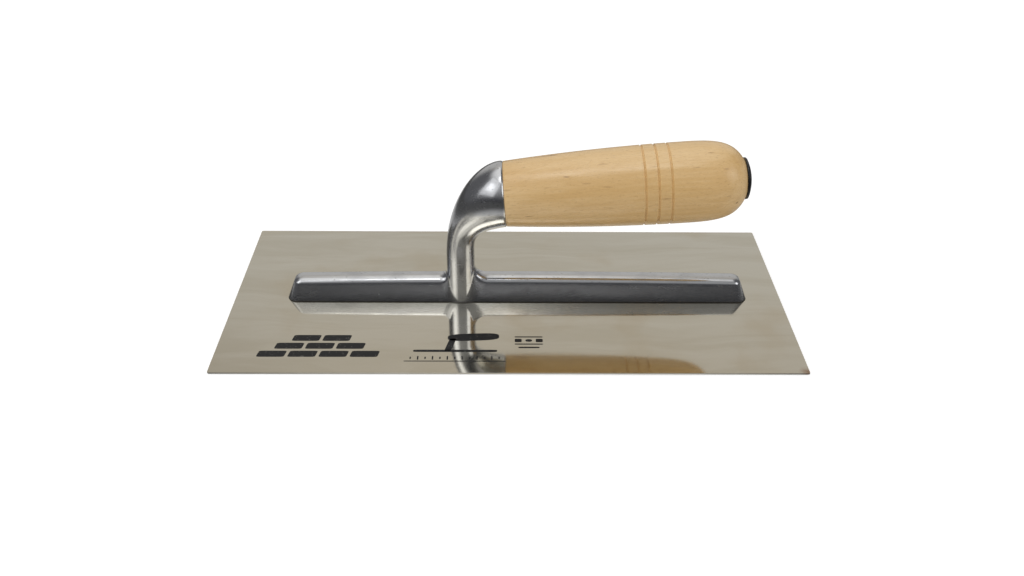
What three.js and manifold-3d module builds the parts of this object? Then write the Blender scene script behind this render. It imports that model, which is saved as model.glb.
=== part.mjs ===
// A rectangular finishing trowel: a thin stainless blade riveted to a cast aluminium mounting, whose
// gooseneck carries a turned wooden handle on one long bolt.
// Millimetres, +Z up. The origin is the centre of the blade's working face, +X points to the heel of
// the handle, and the blade lies in the XY plane.
import * as THREE from "three";
import { mergeVertices } from "three/addons/utils/BufferGeometryUtils.js";
import Module from "manifold-3d";

const wasm = await Module();
wasm.setup();

// ---- Blade ----
const BLADE_LENGTH = 280;
const BLADE_WIDTH = 125;
const BLADE_THICKNESS = 0.8;
const BLADE_CORNER_RADIUS = 0.8;

// ---- Mounting: the spine along the blade ----
const TOE_MARGIN = 26.8; // bare blade in front of the spine
const HEEL_MARGIN = 17.6; // bare blade behind the spine
const SPINE_WIDTH = 15.6; // at the blade
const SPINE_OFFSET = 1.05; // how far its middle is from the blade's, towards the back
const SPINE_HEIGHT = 12; // at the middle of its length
const SPINE_END_DROP = 1.2; // how much lower the top is at the two ends
const SPINE_DRAFT = THREE.MathUtils.degToRad(14);
const SPINE_END_DRAFT = THREE.MathUtils.degToRad(22);
const SPINE_CORNER_RADIUS = 5; // in plan, at the blade
const SPINE_END_FULLNESS = 0.85; // largest share of the half width that the corners may take
const SPINE_TOP_RADIUS = 2.5; // round between the sides and the top

// ---- Mounting: the gooseneck and its ferrule ----
const NECK_X = -24.5;
const NECK_LENGTHWISE = 14.1; // the neck's size along the blade
const NECK_CROSSWISE = 14.5; // and across it
const NECK_FILLET = 9; // where the neck grows out of the spine
const NECK_FILLET_SINK = 0.45; // the fillet's foot lies this far under the spine's top
const NECK_STRAIGHT = 24; // height above the blade at which the neck starts to bend
const FERRULE_X = -2.6; // centre of the ferrule's face
const FERRULE_HEIGHT = 59.6; // and its height above the blade
const FERRULE_RADIUS = 16;
const OUTER_RISE = 33.3; // control lengths of the outer bend
const OUTER_RUN = 11.1;
const INNER_RISE = 10.1; // and of the inner bend
const INNER_RUN = 17.1;
const INNER_FLARE = THREE.MathUtils.degToRad(10); // how much more steeply the inner bend meets the ferrule
const BEND_PAIRING = 3.1; // the inner bend is over sooner, so its points bunch towards the ferrule

// ---- Rivets ----
const RIVET_COUNT = 8;
const RIVET_RADIUS = 2;
const RIVET_HEAD_RADIUS = 3.2;
const RIVET_HEAD_DEPTH = 0.5;
const RIVET_DEPTH = 5; // into the spine
const RIVET_END_MARGIN = 12; // from the spine's end to the first rivet
const RIVET_SINK = 0.05; // heads end this far inside the working face
const RIVET_CLEARANCE = 0.3;

// ---- Handle ----
const HANDLE_TILT = THREE.MathUtils.degToRad(4.5);
const HANDLE_LENGTH = 114.3;
const HANDLE_FRONT_STEP = 0.25; // the wood starts this much inside the ferrule's edge
const HANDLE_BELLY_RADIUS = 19.4;
const HANDLE_DOME_LENGTH = 27.5; // from the thickest point to the rear face
const DOME_FULLNESS = 0.59; // share of the dome over which the belly holds its thickness
const HEEL_ROUND = 0.17; // where the dome turns in to the rear face
const HEEL_FULLNESS = 0.92; // and how thick it still is there, against the belly
const GROOVE_COUNT = 3;
const GROOVE_PITCH = 6.1;
const GROOVE_WIDTH = 1.1;
const GROOVE_DEPTH = 0.6;
const LAST_GROOVE_TO_REAR = 36.5;
const HANDLE_SEAT_GAP = 0.3; // the hairline between ferrule and wood

// ---- Spigot, bolt, washers and cap, all on the handle's axis ----
const SPIGOT_RADIUS = 7;
const SPIGOT_LENGTH = 6;
const SPIGOT_CLEARANCE = 0.3;
const BOLT_RADIUS = 4;
const BOLT_REACH = 10.9; // how far it enters the casting, which makes it 110 long under the head
const BOLT_TIP_CHAMFER = 1;
const BOLT_HEAD_ACROSS_FLATS = 13;
const BOLT_HEAD_HEIGHT = 5.3;
const BOLT_HOLE_CLEARANCE = 0.5; // in the wood and the washers
const THREAD_CLEARANCE = 0.3; // the tapped hole is a plain bore
const THREAD_RUNOUT = 2; // of the tapped hole past the bolt's tip
const COUNTERBORE_CLEARANCE = 0.4; // round the washer
const COUNTERBORE_DEPTH = 20;
const WASHER_RADIUS = 8;
const WASHER_THICKNESS = 1.6;
const LOCK_WASHER_RADIUS = 6.6;
const LOCK_WASHER_THICKNESS = 2;
const LOCK_WASHER_SLIT = 1.5;
const STACK_GAP = 0.3; // between faces that bear on each other along the handle
const CAP_FLANGE_WIDTH = 1.6; // how far the cap overlaps the counterbore's edge
const CAP_RIM = 0.9; // straight edge of the cap's flange
const CAP_DOME = 1.4; // crown above that edge
const CAP_STEM_LENGTH = 7;
const CAP_STEM_CLEARANCE = 0.3;
const CAP_WALL = 1.8;
const CAP_SEAT_WIDTH = 0.8; // how far the flange overhangs the wood's rear face

// ---- How finely curves are cut ----
const ROUND_SEGMENTS = 40;
const SMALL_SEGMENTS = 20;
const ARC_SEGMENTS = 5;
const SPINE_STATIONS = 14; // along the crowned top
const FLANK_STEPS = 3;
const NECK_STEPS = 16;
const SWELL_STEPS = 9;
const DOME_STEPS = 12;
const WELD_DISTANCE = 1e-4;

const deckHeight = BLADE_THICKNESS; // the spine stands on the blade's upper face
const spineLength = BLADE_LENGTH - TOE_MARGIN - HEEL_MARGIN;
const spineX = (TOE_MARGIN - HEEL_MARGIN) / 2;
const neckHalfLengthwise = NECK_LENGTHWISE / 2;
const neckHalfCrosswise = NECK_CROSSWISE / 2;
const axisDirection = new THREE.Vector2(Math.cos(HANDLE_TILT), Math.sin(HANDLE_TILT));
const ferruleCentre = new THREE.Vector2(FERRULE_X, deckHeight + FERRULE_HEIGHT);

// The frame of everything turned on the handle's axis: its X runs from the ferrule's face to the rear.
const handleFrame = new THREE.Matrix4()
  .makeTranslation(ferruleCentre.x, 0, ferruleCentre.y)
  .multiply(new THREE.Matrix4().makeRotationY(-HANDLE_TILT));

// ---- Solids ----

// A closed three.js geometry as a manifold solid, faces outwards.
function toSolid(geometry) {
  const bare = new THREE.BufferGeometry().setAttribute("position", geometry.getAttribute("position"));
  if (geometry.index) bare.setIndex(geometry.index);
  const merged = mergeVertices(bare, WELD_DISTANCE);
  return new wasm.Manifold(
    new wasm.Mesh({
      numProp: 3,
      vertProperties: new Float32Array(merged.attributes.position.array),
      triVerts: new Uint32Array(merged.index.array),
    }),
  );
}

// A manifold solid as a three.js geometry.
function toGeometry(solid) {
  const mesh = solid.getMesh();
  return new THREE.BufferGeometry()
    .setAttribute("position", new THREE.BufferAttribute(new Float32Array(mesh.vertProperties), 3))
    .setIndex(new THREE.BufferAttribute(new Uint32Array(mesh.triVerts), 1));
}

// The skin over a stack of rings, closed at both ends. Point k of a ring and point N-1-k mirror each
// other across the XZ plane, so each end is closed by a ladder of quads. Rings run anticlockwise seen
// from the end that the stack grows towards.
function loft(rings) {
  const size = rings[0].length;
  const position = rings.flat().flatMap((p) => [p.x, p.y, p.z]);
  const index = [];
  for (let i = 0; i + 1 < rings.length; i++) {
    for (let k = 0; k < size; k++) {
      const next = (k + 1) % size;
      const [a, b] = [i * size + k, i * size + next];
      const [c, d] = [a + size, b + size];
      index.push(a, b, d, a, d, c);
    }
  }
  const last = (rings.length - 1) * size;
  for (let k = 0; k + 1 < size / 2; k++) {
    const [a, b, c, d] = [k, k + 1, size - 2 - k, size - 1 - k];
    index.push(last + a, last + b, last + c, last + a, last + c, last + d);
    index.push(a, c, b, a, d, c);
  }
  return new THREE.BufferGeometry()
    .setAttribute("position", new THREE.Float32BufferAttribute(position, 3))
    .setIndex(index);
}

// A solid of revolution about X from [x, radius] pairs, listed anticlockwise with x to the right and
// the radius up, starting and ending on the axis or on the same point.
function turned(profile, segments) {
  const points = profile.map(([x, radius]) => new THREE.Vector2(radius, x)).reverse();
  return new THREE.LatheGeometry(points, segments).rotateZ(-Math.PI / 2);
}

// An upright cylinder between two heights, as a cutter.
function uprightCylinder(radius, low, high) {
  return new THREE.CylinderGeometry(radius, radius, high - low, SMALL_SEGMENTS)
    .rotateX(Math.PI / 2)
    .translate(0, 0, (low + high) / 2);
}

// A round bar along the handle's axis between two distances from the ferrule's face, as a cutter.
function axialCylinder(radius, from, to) {
  return turned([[to, 0], [to, radius], [from, radius], [from, 0]], ROUND_SEGMENTS);
}

function quadraticPoint(p0, p1, p2, t) {
  const s = 1 - t;
  return [
    s * s * p0[0] + 2 * s * t * p1[0] + t * t * p2[0],
    s * s * p0[1] + 2 * s * t * p1[1] + t * t * p2[1],
  ];
}

// ---- Rivets ----

const rivetSpan = spineLength - 2 * RIVET_END_MARGIN;
const rivetPlaces = Array.from(
  { length: RIVET_COUNT },
  (_, i) => spineX - rivetSpan / 2 + (i * rivetSpan) / (RIVET_COUNT - 1),
);

// A countersunk rivet, or with a clearance the space it needs.
function rivetShape(clearance) {
  const foot = clearance > 0 ? -RIVET_SINK : RIVET_SINK;
  const underHead = RIVET_SINK + RIVET_HEAD_DEPTH;
  const top = deckHeight + RIVET_DEPTH + clearance;
  const flare = ((RIVET_HEAD_RADIUS - RIVET_RADIUS) / RIVET_HEAD_DEPTH) * (underHead - foot);
  const radius = RIVET_RADIUS + clearance;
  const profile = [
    [top, 0],
    [top, radius],
    [underHead, radius],
    [foot, radius + flare],
    [foot, 0],
  ];
  return turned(profile, SMALL_SEGMENTS).rotateY(-Math.PI / 2);
}

// ---- Blade ----

function bladeGeometry() {
  const [x, y, r] = [BLADE_LENGTH / 2, BLADE_WIDTH / 2, BLADE_CORNER_RADIUS];
  const outline = new THREE.Shape()
    .moveTo(-x + r, -y)
    .lineTo(x - r, -y)
    .absarc(x - r, -y + r, r, -Math.PI / 2, 0)
    .lineTo(x, y - r)
    .absarc(x - r, y - r, r, 0, Math.PI / 2)
    .lineTo(-x + r, y)
    .absarc(-x + r, y - r, r, Math.PI / 2, Math.PI)
    .lineTo(-x, -y + r)
    .absarc(-x + r, -y + r, r, Math.PI, Math.PI * 1.5);
  const plate = new THREE.ExtrudeGeometry(outline, {
    depth: BLADE_THICKNESS,
    bevelEnabled: false,
    curveSegments: ARC_SEGMENTS,
  });
  let solid = toSolid(plate);
  for (const place of rivetPlaces) {
    solid = solid.subtract(toSolid(rivetShape(RIVET_CLEARANCE).translate(place, 0, 0)));
  }
  return toGeometry(solid);
}

// ---- Mounting ----

// One level of the spine: a rectangle with round corners, drawn in at the sides and the ends, whose
// height falls away towards the two ends.
function spineRing(height, sideInset, endInset) {
  const halfLength = spineLength / 2 - endInset;
  const halfWidth = SPINE_WIDTH / 2 - sideInset;
  const radius = Math.min(SPINE_CORNER_RADIUS - sideInset / 2, halfWidth * SPINE_END_FULLNESS);
  const half = [];
  for (let i = 0; i <= ARC_SEGMENTS; i++) {
    const angle = (i / ARC_SEGMENTS) * (Math.PI / 2);
    half.push([
      halfLength - radius + radius * Math.cos(angle),
      halfWidth - radius + radius * Math.sin(angle),
    ]);
  }
  for (let i = 1; i < SPINE_STATIONS; i++) {
    half.push([(halfLength - radius) * (1 - (2 * i) / SPINE_STATIONS), halfWidth]);
  }
  for (let i = ARC_SEGMENTS; i >= 0; i--) {
    const angle = (i / ARC_SEGMENTS) * (Math.PI / 2);
    half.push([
      -halfLength + radius - radius * Math.cos(angle),
      halfWidth - radius + radius * Math.sin(angle),
    ]);
  }
  const outline = [...half, ...half.toReversed().map(([x, y]) => [x, -y])];
  return outline.map(([x, y]) => {
    const drop = (SPINE_END_DROP / SPINE_HEIGHT) * ((2 * x) / spineLength) ** 2;
    return new THREE.Vector3(spineX + x, y + SPINE_OFFSET, deckHeight + height * (1 - drop));
  });
}

function spineGeometry() {
  const rings = [];
  const shoulder = SPINE_HEIGHT - SPINE_TOP_RADIUS * (1 - Math.sin(SPINE_DRAFT));
  for (let i = 0; i < FLANK_STEPS; i++) {
    const height = (shoulder * i) / FLANK_STEPS;
    rings.push(spineRing(height, height * Math.tan(SPINE_DRAFT), height * Math.tan(SPINE_END_DRAFT)));
  }
  // The round at the top starts along the flank's slope and ends level.
  const endShare = Math.tan(SPINE_END_DRAFT) / Math.tan(SPINE_DRAFT);
  for (let i = 0; i <= ARC_SEGMENTS; i++) {
    const angle = SPINE_DRAFT + (i / ARC_SEGMENTS) * (Math.PI / 2 - SPINE_DRAFT);
    const height = SPINE_HEIGHT - SPINE_TOP_RADIUS * (1 - Math.sin(angle));
    const curl = SPINE_TOP_RADIUS * (Math.cos(SPINE_DRAFT) - Math.cos(angle));
    const flank = shoulder * Math.tan(SPINE_DRAFT);
    rings.push(spineRing(height, flank + curl, flank * endShare + curl));
  }
  return loft(rings);
}

// A ring whose lengthwise axis runs from one point of the XZ plane to another.
function ellipseRing(rear, front, halfCrosswise) {
  const centre = rear.clone().add(front).multiplyScalar(0.5);
  const arm = front.clone().sub(centre);
  return Array.from({ length: ROUND_SEGMENTS }, (_, k) => {
    const angle = ((k + 0.5) / ROUND_SEGMENTS) * 2 * Math.PI;
    return new THREE.Vector3(
      centre.x + arm.x * Math.cos(angle),
      halfCrosswise * Math.sin(angle),
      centre.y + arm.y * Math.cos(angle),
    );
  });
}

function neckGeometry() {
  const bend = new THREE.Vector2(-axisDirection.y, axisDirection.x).multiplyScalar(FERRULE_RADIUS);
  const crown = ferruleCentre.clone().add(bend);
  const throat = ferruleCentre.clone().sub(bend);
  const start = deckHeight + NECK_STRAIGHT;
  const back = NECK_X - neckHalfLengthwise;
  const front = NECK_X + neckHalfLengthwise;
  const innerAngle = HANDLE_TILT + INNER_FLARE;
  const innerDirection = new THREE.Vector2(Math.cos(innerAngle), Math.sin(innerAngle));
  const outer = new THREE.CubicBezierCurve(
    new THREE.Vector2(back, start),
    new THREE.Vector2(back, start + OUTER_RISE),
    crown.clone().addScaledVector(axisDirection, -OUTER_RUN),
    crown,
  );
  const inner = new THREE.CubicBezierCurve(
    new THREE.Vector2(front, start),
    new THREE.Vector2(front, start + INNER_RISE),
    throat.clone().addScaledVector(innerDirection, -INNER_RUN),
    throat,
  );
  const foot = ellipseRing(
    new THREE.Vector2(back, deckHeight),
    new THREE.Vector2(front, deckHeight),
    neckHalfCrosswise,
  );
  const rings = [foot];
  const roundness = neckHalfCrosswise / neckHalfLengthwise;
  for (let i = 0; i <= NECK_STEPS; i++) {
    const t = i / NECK_STEPS;
    const outerPoint = outer.getPoint(t);
    const innerPoint = inner.getPoint(1 - (1 - t) ** BEND_PAIRING);
    const halfSize = outerPoint.distanceTo(innerPoint) / 2;
    rings.push(ellipseRing(outerPoint, innerPoint, halfSize * THREE.MathUtils.lerp(roundness, 1, t)));
  }
  return loft(rings);
}

// The saddle where the neck grows out of the spine: lengthwise it sweeps down as a round, while
// crosswise it narrows to the spine's top.
function saddleGeometry() {
  const spineTop = SPINE_WIDTH / 2 - SPINE_HEIGHT * Math.tan(SPINE_DRAFT);
  const rings = [];
  const level = (height, halfLengthwise, halfCrosswise) =>
    ellipseRing(
      new THREE.Vector2(NECK_X - halfLengthwise, deckHeight + height),
      new THREE.Vector2(NECK_X + halfLengthwise, deckHeight + height),
      halfCrosswise,
    );
  rings.push(level(SPINE_HEIGHT / 2, neckHalfLengthwise + NECK_FILLET, spineTop));
  for (let i = 0; i <= ARC_SEGMENTS; i++) {
    const angle = (1 - i / ARC_SEGMENTS) * (Math.PI / 2);
    const spread = 1 - Math.cos(angle);
    const height = SPINE_HEIGHT - NECK_FILLET_SINK + NECK_FILLET * (1 - Math.sin(angle));
    const crosswise = THREE.MathUtils.lerp(neckHalfCrosswise, spineTop, spread);
    rings.push(level(height, neckHalfLengthwise + NECK_FILLET * spread, crosswise));
  }
  return loft(rings);
}

function mountingGeometry() {
  const spigot = axialCylinder(SPIGOT_RADIUS, -SPIGOT_LENGTH, SPIGOT_LENGTH).applyMatrix4(handleFrame);
  const tapped = axialCylinder(
    BOLT_RADIUS + THREAD_CLEARANCE,
    -BOLT_REACH - THREAD_RUNOUT,
    SPIGOT_LENGTH + 1,
  ).applyMatrix4(handleFrame);
  let solid = toSolid(spineGeometry())
    .add(toSolid(neckGeometry()))
    .add(toSolid(saddleGeometry()))
    .add(toSolid(spigot))
    .subtract(toSolid(tapped));
  for (const place of rivetPlaces) {
    const top = deckHeight + RIVET_DEPTH + RIVET_CLEARANCE;
    const bore = uprightCylinder(RIVET_RADIUS + RIVET_CLEARANCE, 0, top).translate(place, 0, 0);
    solid = solid.subtract(toSolid(bore));
  }
  return toGeometry(solid);
}

// ---- Handle and what is on its axis; x is the distance behind the ferrule's face ----

const woodFront = HANDLE_SEAT_GAP;
const woodRear = woodFront + HANDLE_LENGTH;
const boltSeat = woodRear - COUNTERBORE_DEPTH; // floor of the counterbore
const washerFront = boltSeat + STACK_GAP;
const lockWasherFront = washerFront + WASHER_THICKNESS + STACK_GAP;
const headFront = lockWasherFront + LOCK_WASHER_THICKNESS + STACK_GAP;
const bellyAt = woodRear - HANDLE_DOME_LENGTH;
const frontRadius = FERRULE_RADIUS - HANDLE_FRONT_STEP;
const counterboreRadius = WASHER_RADIUS + COUNTERBORE_CLEARANCE;
const capRadius = counterboreRadius + CAP_FLANGE_WIDTH;
const rearFaceRadius = capRadius - CAP_SEAT_WIDTH;

// The wood's outer radius, from the ferrule to the rear face: a long swell, then a dome.
const swell = [
  [woodFront, frontRadius],
  [(woodFront + bellyAt) / 2, HANDLE_BELLY_RADIUS],
  [bellyAt, HANDLE_BELLY_RADIUS],
];
const dome = new THREE.CubicBezierCurve(
  new THREE.Vector2(bellyAt, HANDLE_BELLY_RADIUS),
  new THREE.Vector2(bellyAt + HANDLE_DOME_LENGTH * DOME_FULLNESS, HANDLE_BELLY_RADIUS),
  new THREE.Vector2(woodRear - HANDLE_DOME_LENGTH * HEEL_ROUND, HANDLE_BELLY_RADIUS * HEEL_FULLNESS),
  new THREE.Vector2(woodRear, rearFaceRadius),
);

function swellRadius(x) {
  return quadraticPoint(...swell, (x - woodFront) / (bellyAt - woodFront))[1];
}

function handleGeometry() {
  const grooves = Array.from(
    { length: GROOVE_COUNT },
    (_, i) => woodRear - LAST_GROOVE_TO_REAR - (GROOVE_COUNT - 1 - i) * GROOVE_PITCH,
  );
  const outline = [];
  const lastPlain = grooves[0] - GROOVE_WIDTH;
  for (let i = 0; i <= SWELL_STEPS; i++) {
    const x = woodFront + ((lastPlain - woodFront) * i) / SWELL_STEPS;
    outline.push([x, swellRadius(x)]);
  }
  for (const middle of grooves) {
    const [before, after] = [middle - GROOVE_WIDTH / 2, middle + GROOVE_WIDTH / 2];
    outline.push([before, swellRadius(before)]);
    outline.push([middle, swellRadius(middle) - GROOVE_DEPTH]);
    outline.push([after, swellRadius(after)]);
  }
  for (const point of dome.getPoints(DOME_STEPS)) outline.push([point.x, point.y]);
  const recessRadius = SPIGOT_RADIUS + SPIGOT_CLEARANCE;
  const recessDepth = SPIGOT_LENGTH + SPIGOT_CLEARANCE;
  const boreRadius = BOLT_RADIUS + BOLT_HOLE_CLEARANCE;
  const bore = [
    [woodRear, counterboreRadius],
    [boltSeat, counterboreRadius],
    [boltSeat, boreRadius],
    [recessDepth, boreRadius],
    [recessDepth, recessRadius],
    [woodFront, recessRadius],
  ];
  return turned([...outline, ...bore, outline[0]].toReversed(), ROUND_SEGMENTS);
}

function washerGeometry(front, thickness, radius) {
  const bore = BOLT_RADIUS + BOLT_HOLE_CLEARANCE;
  const rear = front + thickness;
  const section = [[front, bore], [rear, bore], [rear, radius], [front, radius], [front, bore]];
  return turned(section, ROUND_SEGMENTS);
}

function lockWasherGeometry() {
  const ring = washerGeometry(lockWasherFront, LOCK_WASHER_THICKNESS, LOCK_WASHER_RADIUS);
  const slit = new THREE.BoxGeometry(LOCK_WASHER_THICKNESS * 2, LOCK_WASHER_SLIT, LOCK_WASHER_RADIUS * 2)
    .translate(lockWasherFront + LOCK_WASHER_THICKNESS / 2, 0, LOCK_WASHER_RADIUS);
  return toGeometry(toSolid(ring).subtract(toSolid(slit)));
}

function boltGeometry() {
  const corner = BOLT_HEAD_ACROSS_FLATS / 2 / Math.cos(Math.PI / 6);
  const head = new THREE.CylinderGeometry(corner, corner, BOLT_HEAD_HEIGHT, 6)
    .rotateZ(-Math.PI / 2)
    .translate(headFront + BOLT_HEAD_HEIGHT / 2, 0, 0);
  const tip = -BOLT_REACH;
  const overlap = headFront + BOLT_HEAD_HEIGHT / 2;
  const shank = turned(
    [
      [overlap, 0],
      [overlap, BOLT_RADIUS],
      [tip + BOLT_TIP_CHAMFER, BOLT_RADIUS],
      [tip, BOLT_RADIUS - BOLT_TIP_CHAMFER],
      [tip, 0],
    ],
    SMALL_SEGMENTS,
  );
  return toGeometry(toSolid(shank).add(toSolid(head)));
}

function capGeometry() {
  const flange = woodRear + STACK_GAP;
  const stem = counterboreRadius - CAP_STEM_CLEARANCE;
  const rim = flange + CAP_RIM;
  const stemEnd = woodRear - CAP_STEM_LENGTH;
  const crown = [];
  for (let i = 0; i <= ARC_SEGMENTS; i++) {
    const angle = (i / ARC_SEGMENTS) * (Math.PI / 2);
    crown.push([rim + CAP_DOME * Math.cos(angle), capRadius * Math.sin(angle)]);
  }
  const inside = [
    [flange, capRadius],
    [flange, stem],
    [stemEnd, stem],
    [stemEnd, stem - CAP_WALL],
    [flange, stem - CAP_WALL],
    [flange, 0],
  ];
  return turned([...crown, ...inside], ROUND_SEGMENTS);
}

// ---- Assembly ----

const steel = new THREE.MeshStandardMaterial({ color: 0xaaa698, roughness: 0.22, metalness: 1 });
const castAluminium = new THREE.MeshStandardMaterial({ color: 0xb4b6ba, roughness: 0.28, metalness: 1 });
const zincPlated = new THREE.MeshStandardMaterial({ color: 0x9da0a3, roughness: 0.4, metalness: 1 });
const wood = new THREE.MeshStandardMaterial({ color: 0xd2ac76, roughness: 0.5, metalness: 0 });
const blackPlastic = new THREE.MeshStandardMaterial({ color: 0x17181c, roughness: 0.35, metalness: 0 });

function named(name, geometry, material) {
  const mesh = new THREE.Mesh(geometry, material);
  mesh.name = name;
  return mesh;
}

const bladeGroup = new THREE.Group();
bladeGroup.add(
  named("blade", bladeGeometry(), steel),
  named("mounting", mountingGeometry(), castAluminium),
);
rivetPlaces.forEach((place, i) => {
  const rivet = named(`blade_rivet_${i + 1}`, rivetShape(0), castAluminium);
  rivet.position.x = place;
  bladeGroup.add(rivet);
});

const handleGroup = new THREE.Group();
handleGroup.applyMatrix4(handleFrame);
handleGroup.add(
  named("handle", handleGeometry(), wood),
  named("handle_bolt", boltGeometry(), zincPlated),
  named("flat_washer", washerGeometry(washerFront, WASHER_THICKNESS, WASHER_RADIUS), zincPlated),
  named("lock_washer", lockWasherGeometry(), zincPlated),
  named("end_cap", capGeometry(), blackPlastic),
);

const trowel = new THREE.Group();
trowel.add(bladeGroup, handleGroup);

export default trowel;
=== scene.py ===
"""Dresses the finishing trowel: fine meshes for its turned, cast and printed pieces, a finish for every
piece, and the studio round it.

Sizes are in millimetres, and become metres where a mesh or a light is made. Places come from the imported
model's own boxes.
"""

import logging
import math
from dataclasses import dataclass
from enum import Enum
from typing import Callable, Sequence

import bmesh
import bpy
import numpy as np
from mathutils import Matrix, Vector


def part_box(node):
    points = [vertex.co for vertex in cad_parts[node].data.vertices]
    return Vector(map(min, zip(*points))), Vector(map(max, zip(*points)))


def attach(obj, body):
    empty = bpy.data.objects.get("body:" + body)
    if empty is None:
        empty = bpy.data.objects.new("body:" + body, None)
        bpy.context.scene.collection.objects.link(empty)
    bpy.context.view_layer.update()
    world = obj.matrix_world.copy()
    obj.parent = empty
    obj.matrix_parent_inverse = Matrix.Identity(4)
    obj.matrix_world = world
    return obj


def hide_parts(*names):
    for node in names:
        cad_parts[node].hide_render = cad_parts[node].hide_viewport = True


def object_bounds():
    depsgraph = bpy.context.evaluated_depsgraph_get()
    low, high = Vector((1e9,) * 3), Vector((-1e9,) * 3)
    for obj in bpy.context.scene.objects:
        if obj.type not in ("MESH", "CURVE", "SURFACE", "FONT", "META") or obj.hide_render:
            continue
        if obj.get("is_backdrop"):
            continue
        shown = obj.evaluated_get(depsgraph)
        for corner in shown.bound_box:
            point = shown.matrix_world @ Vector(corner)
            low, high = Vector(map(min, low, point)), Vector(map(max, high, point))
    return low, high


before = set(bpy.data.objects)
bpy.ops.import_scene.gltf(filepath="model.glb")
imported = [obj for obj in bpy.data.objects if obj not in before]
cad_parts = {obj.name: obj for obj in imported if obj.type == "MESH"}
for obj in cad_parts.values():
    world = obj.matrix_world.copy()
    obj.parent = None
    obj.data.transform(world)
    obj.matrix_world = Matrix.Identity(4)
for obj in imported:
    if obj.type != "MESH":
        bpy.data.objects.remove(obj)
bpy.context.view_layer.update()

LOG = logging.getLogger("trowel")
MM = 0.001
Socket = bpy.types.NodeSocket
Node = bpy.types.Node
Material = bpy.types.Material
Thing = bpy.types.Object
Points = np.ndarray
Pair = tuple[float, float]
Triple = tuple[float, float, float]
Colour = tuple[float, float, float, float]


class Slot(Enum):
    """The record's material slots that new pieces belong to."""

    CASTING = "cast_aluminium"
    WOOD = "beech_wood"
    CAP = "black_plastic"


# --- Surfaces ---


@dataclass(frozen=True)
class Surface:
    """A grid of points, rows by columns by three, in millimetres.

    The columns close on themselves. The rows close too where `loops` is set, and otherwise the first
    and last rows each shrink to a point or a seam.
    """

    points: Points
    loops: bool = False

    def faces(self, first: int) -> Points:
        """Numbers the grid's four-sided faces, which look outwards when the columns run anticlockwise
        seen from the way the rows advance.

        Args:
            first: the number of the grid's first point in its mesh.

        Returns:
            An array of point numbers, four to a face.
        """
        rows, columns = self.points.shape[:2]
        steps = rows if self.loops else rows - 1
        row, column = np.meshgrid(np.arange(steps), np.arange(columns), indexing="ij")
        above, beside = (row + 1) % rows, (column + 1) % columns
        corners = (
            row * columns + column,
            row * columns + beside,
            above * columns + beside,
            above * columns + column,
        )
        return first + np.stack(corners, axis=-1).reshape(-1, 4)


def weld(name: str, surfaces: Sequence[Surface], finish: Material, sharp: float = 40.0) -> Thing:
    """Joins closed surfaces into one smooth piece, with its place in its mesh.

    Args:
        name: the piece's name.
        surfaces: the closed grids it is made of.
        finish: its material.
        sharp: the angle in degrees above which an edge stays crisp.

    Returns:
        The new object, at the origin and linked to the scene.
    """
    points = np.concatenate([s.points.reshape(-1, 3) for s in surfaces]) * MM
    sizes = [s.points.shape[0] * s.points.shape[1] for s in surfaces]
    starts = np.concatenate([[0], np.cumsum(sizes)[:-1]])
    faces = np.concatenate([s.faces(int(first)) for s, first in zip(surfaces, starts)])
    mesh = bpy.data.meshes.new(name)
    mesh.from_pydata(points.tolist(), [], faces.tolist())
    working = bmesh.new()
    working.from_mesh(mesh)
    bmesh.ops.remove_doubles(working, verts=working.verts, dist=1e-7)
    working.to_mesh(mesh)
    working.free()
    mesh.shade_smooth()
    mesh.set_sharp_from_angle(angle=math.radians(sharp))
    mesh.materials.append(finish)
    piece = bpy.data.objects.new(name, mesh)
    bpy.context.scene.collection.objects.link(piece)
    return piece


def arc(centre: Pair, radius: float, start: float, end: float, steps: int) -> Points:
    """Points on a round, centre plus radius times (cos, sin) of an angle that goes evenly from one value
    to another.

    Args:
        centre: the round's centre.
        radius: its radius.
        start: the first angle, in degrees.
        end: the last angle, in degrees.
        steps: how many spans it is cut into.

    Returns:
        An array of steps + 1 points.
    """
    angle = np.radians(np.linspace(start, end, steps + 1))
    return np.array(centre) + radius * np.stack([np.cos(angle), np.sin(angle)], axis=1)


def bezier(controls: Points, t: Points) -> Points:
    """A cubic curve, the sum of its four control points weighted by the Bernstein polynomials in t.

    Args:
        controls: four control points along the first axis, of any further shape.
        t: the parameters, from 0 to 1.

    Returns:
        The points, with t along the first axis.
    """
    t = t.reshape(-1, *([1] * (controls.ndim - 1)))
    s = 1 - t
    p = controls
    return s**3 * p[0] + 3 * s * s * t * p[1] + 3 * s * t * t * p[2] + t**3 * p[3]


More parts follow.
